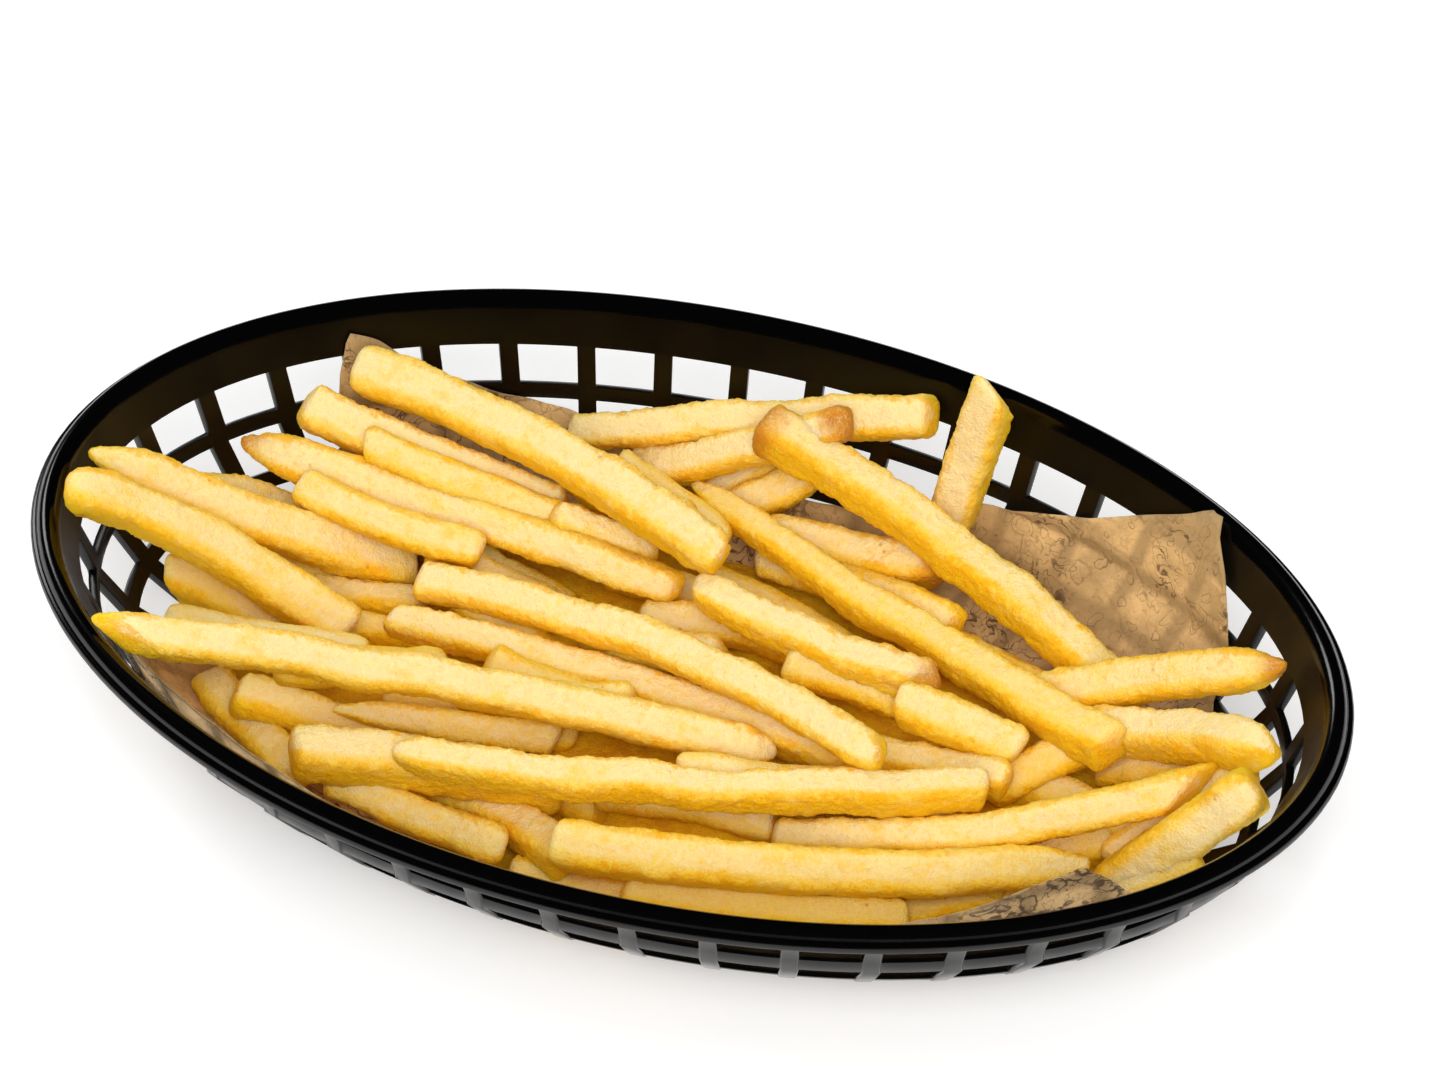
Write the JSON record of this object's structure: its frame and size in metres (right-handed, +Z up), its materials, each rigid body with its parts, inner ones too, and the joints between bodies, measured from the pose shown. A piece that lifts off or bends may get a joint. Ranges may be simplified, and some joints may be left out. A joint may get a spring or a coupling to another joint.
{
  "type": "french fries portion",
  "caption": "Heap of thick-cut french fries on a sheet of kraft paper in an oval openwork plastic basket with a rolled rim.",
  "frame": {"origin": "on the table under the middle of the basket", "axes": "+X along the basket's length, +Y across it, +Z up"},
  "size_m": [0.238, 0.1488, 0.0518],
  "materials": {
    "basket": "glossy near-black moulded plastic",
    "paper": "matte kraft paper with a fine two-colour print",
    "fries": "dry fried potato, pale faces with golden edges"
  },
  "bodies": {
    "root": {"basket": "basket", "paper_liner": "paper", "fries_heap": "fries"}
  },
  "joints": []
}
